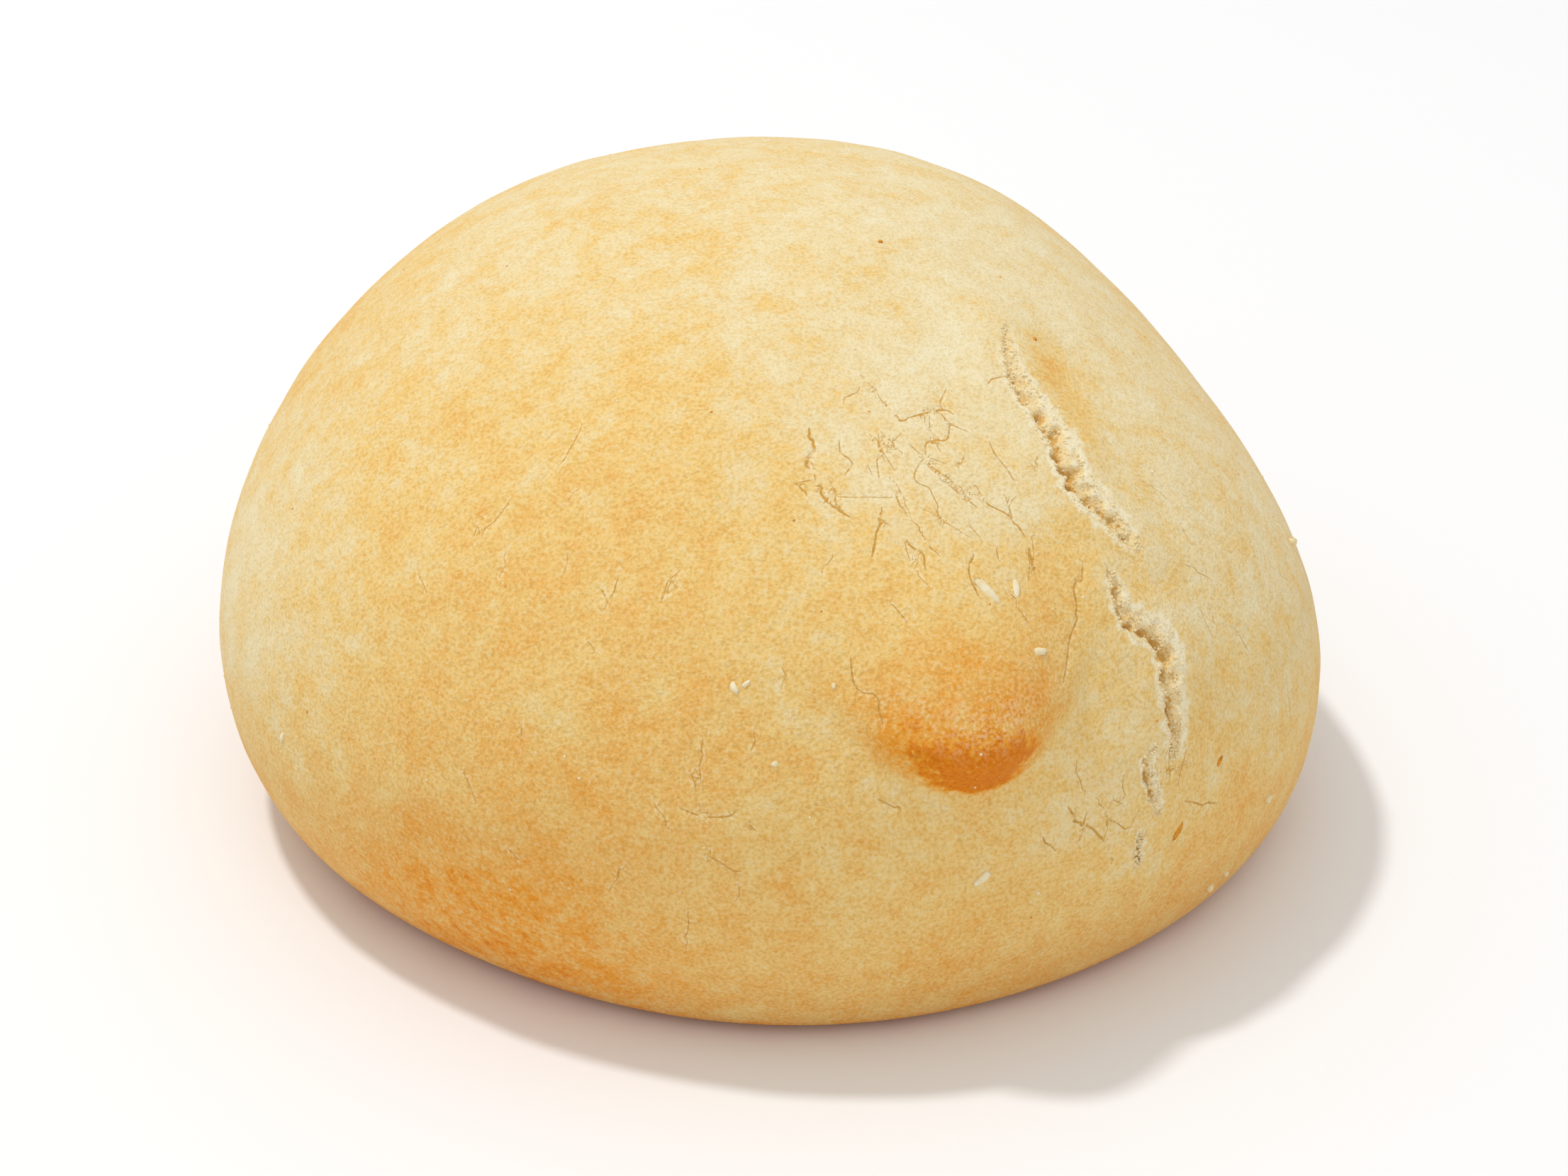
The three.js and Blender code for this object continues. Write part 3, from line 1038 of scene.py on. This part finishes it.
def crumb_piece(settings):
    """Torn crumb: lumps scattered over the floors and edges of the tears, and a few larger loose ones."""
    bun = Bun(settings.bun)
    draws = np.random.default_rng(SEED)
    places = []
    for half_width, _, lean, route in TEARS:
        seam = route_seam(bun, route)
        count = int(seam.length / MM * CRUMBS_PER_MM)
        step = draws.integers(1, len(seam.places) - 1, count)
        opening = tear_opening(step / (len(seam.places) - 1), lean)
        side = draws.uniform(*CRUMB_SPREAD, count) * half_width * opening
        places.append(seam.places[step] + seam.right[step] * side[:, None])
    bearing, altitude, half_width = np.transpose(CRUMBS)
    loose = bun.point(towards(bearing, altitude))
    places = np.concatenate((bun.under(np.concatenate(places)), loose))
    points, out = on_crust(bun, settings, places)
    across, along = turned(out, draws.uniform(0, math.pi, len(points)))
    size = draws.uniform(*CRUMB_HALF_WIDTHS, (len(points), 1))
    size[-len(CRUMBS) :, 0] = half_width
    sizes = size * draws.uniform(*CRUMB_STRETCH, (len(points), 3))
    points, quads = lumps(points, across, along, out, sizes, SEED)
    material = plain_finish("torn_crumb", settings.colours.crumb, settings.colours.cream, 0.9 * MM)
    make_piece("torn_crumb", points, quads, material)


def speckle(settings, bits, flecks, seed):
    """Lumps on the crust: bits at their places, and finer flecks at random places.

    The random places are evenly spread directions from the heart, apart from low ones.
    """
    bun = Bun(settings.bun)
    draws = np.random.default_rng(seed)
    bearing, altitude, length, width, thickness, turn = np.transpose(bits)
    count, half_widths, shares = flecks
    scatter = unit(draws.normal(size=(FLECK_DRAWS * count, 3)))
    scatter = scatter[scatter[:, 2] > LOWEST_FLECK][:count]
    directions = np.concatenate((towards(bearing, altitude), scatter))
    points, out = on_crust(bun, settings, bun.point(directions))
    turns = np.concatenate((np.radians(turn), draws.uniform(0, math.pi, count)))
    across, along = turned(out, turns)
    fine = draws.uniform(*half_widths, (count, 1)) * shares
    sizes = np.concatenate((np.stack((length, width, thickness), axis=1) * MM / 2, fine))
    return lumps(points, across, along, out, sizes, seed)


def flour_piece(settings):
    """Flour: flat bits at their places, and a scatter of fine flecks over the crust."""
    points, quads = speckle(settings, FLOUR_BITS, FLOUR_FLECKS, SEED + 1)
    material = plain_finish("dry_flour", settings.colours.flour, settings.colours.cream, 0.8 * MM)
    make_piece("flour_flecks", points, quads, material)


def bran_piece(settings):
    """Bran: brown specks at their places, and a few finer ones over the crust, sunk halfway into it."""
    points, quads = speckle(settings, BRAN_BITS, BRAN_FLECKS, SEED + 2)
    material = plain_finish("bran", settings.colours.bran, settings.colours.toast, 0.5 * MM)
    make_piece("bran_specks", points, quads, material)


class BREAD_ROLL_OT_crust(bpy.types.Operator):
    """Make the crust with its knob, tears and cracks"""

    bl_idname = "bread_roll.crust"
    bl_label = "Make Crust"

    def execute(self, context):
        crust_piece(context.scene.bread_roll)
        return {"FINISHED"}


class BREAD_ROLL_OT_crumb(bpy.types.Operator):
    """Make the torn crumb in the tears"""

    bl_idname = "bread_roll.crumb"
    bl_label = "Make Torn Crumb"

    def execute(self, context):
        crumb_piece(context.scene.bread_roll)
        return {"FINISHED"}


class BREAD_ROLL_OT_flour(bpy.types.Operator):
    """Make the bits and flecks of flour"""

    bl_idname = "bread_roll.flour"
    bl_label = "Make Flour"

    def execute(self, context):
        flour_piece(context.scene.bread_roll)
        return {"FINISHED"}


class BREAD_ROLL_OT_bran(bpy.types.Operator):
    """Make the specks of bran"""

    bl_idname = "bread_roll.bran"
    bl_label = "Make Bran"

    def execute(self, context):
        bran_piece(context.scene.bread_roll)
        return {"FINISHED"}


class BREAD_ROLL_OT_stage(bpy.types.Operator):
    """Set the pale floor, the soft lights and the camera"""

    bl_idname = "bread_roll.stage"
    bl_label = "Set Stage"

    def execute(self, context):
        scene = context.scene
        studio = scene.bread_roll.studio
        make_floor(scene, studio)
        make_lights(scene, studio)
        make_camera(scene, studio)
        scene.view_settings.view_transform = "Standard"
        return {"FINISHED"}


def make_floor(scene, studio):
    """A wide pale floor."""
    mesh = bpy.data.meshes.new("floor")
    corners = [(x * FLOOR_HALF, y * FLOOR_HALF, 0) for x, y in ((-1, -1), (1, -1), (1, 1), (-1, 1))]
    mesh.from_pydata(corners, [], [(0, 1, 2, 3)])
    mesh.materials.append(Finish("pale_floor", Base_Color=(*studio.floor, 1), Roughness=0.9).material)
    floor = bpy.data.objects.new("floor", mesh)
    scene.collection.objects.link(floor)


def make_light(scene, name, away, distance, width, power):
    """A round, soft light that shines at the roll from the given direction."""
    light = bpy.data.lights.new(name, "AREA")
    light.shape = "DISK"
    light.size = width
    light.energy = power
    lamp = bpy.data.objects.new(name, light)
    away = Vector(away).normalized()
    lamp.location = away * distance
    lamp.rotation_euler = away.to_track_quat("Z", "Y").to_euler()
    scene.collection.objects.link(lamp)


def make_lights(scene, studio):
    """A key light high on the left, a weak broad light from the front, and an even fill from all round."""
    make_light(scene, "key", KEY_FROM, studio.light_distance, studio.key_width, studio.key_power)
    make_light(scene, "front", FRONT_FROM, studio.light_distance, studio.front_width, studio.front_power)
    world = bpy.data.worlds.new("fill")
    world.use_nodes = True
    background = world.node_tree.nodes["Background"]
    background.inputs["Color"].default_value = (1, 1, 1, 1)
    background.inputs["Strength"].default_value = studio.fill
    scene.world = world


def make_camera(scene, studio):
    """A long lens that looks down at the front."""
    lens = bpy.data.cameras.new("camera")
    lens.lens = studio.lens
    camera = bpy.data.objects.new("camera", lens)
    back = Vector((0, -math.cos(studio.elevation), math.sin(studio.elevation)))
    camera.location = Vector(studio.aim) + back * studio.distance
    camera.rotation_euler = back.to_track_quat("Z", "Y").to_euler()
    scene.collection.objects.link(camera)
    scene.camera = camera


class BREAD_ROLL_PT_panel(bpy.types.Panel):
    """The roll's operators and settings"""

    bl_label = "Bread Roll"
    bl_space_type = "VIEW_3D"
    bl_region_type = "UI"
    bl_category = "Bread Roll"

    def draw(self, context):
        for operator in OPERATORS:
            self.layout.operator(operator.bl_idname)
        settings = context.scene.bread_roll
        for group in ("bun", "knob", "split", "colours", "studio"):
            box = self.layout.box()
            box.label(text=group.capitalize())
            chosen = getattr(settings, group)
            for name in chosen.__annotations__:
                box.prop(chosen, name)


OPERATORS = (
    BREAD_ROLL_OT_crust,
    BREAD_ROLL_OT_crumb,
    BREAD_ROLL_OT_flour,
    BREAD_ROLL_OT_bran,
    BREAD_ROLL_OT_stage,
)
CLASSES = (
    BunShape,
    KnobShape,
    SplitShape,
    CrustColours,
    StudioSetting,
    RollSettings,
    *OPERATORS,
    BREAD_ROLL_PT_panel,
)


def register():
    for each in CLASSES:
        bpy.utils.register_class(each)
    bpy.types.Scene.bread_roll = PointerProperty(type=RollSettings)


def unregister():
    del bpy.types.Scene.bread_roll
    for each in reversed(CLASSES):
        bpy.utils.unregister_class(each)


def main():
    register()
    bpy.ops.bread_roll.crust()
    bpy.ops.bread_roll.crumb()
    bpy.ops.bread_roll.flour()
    bpy.ops.bread_roll.bran()
    bpy.ops.bread_roll.stage()


if __name__ == "__main__":
    main()
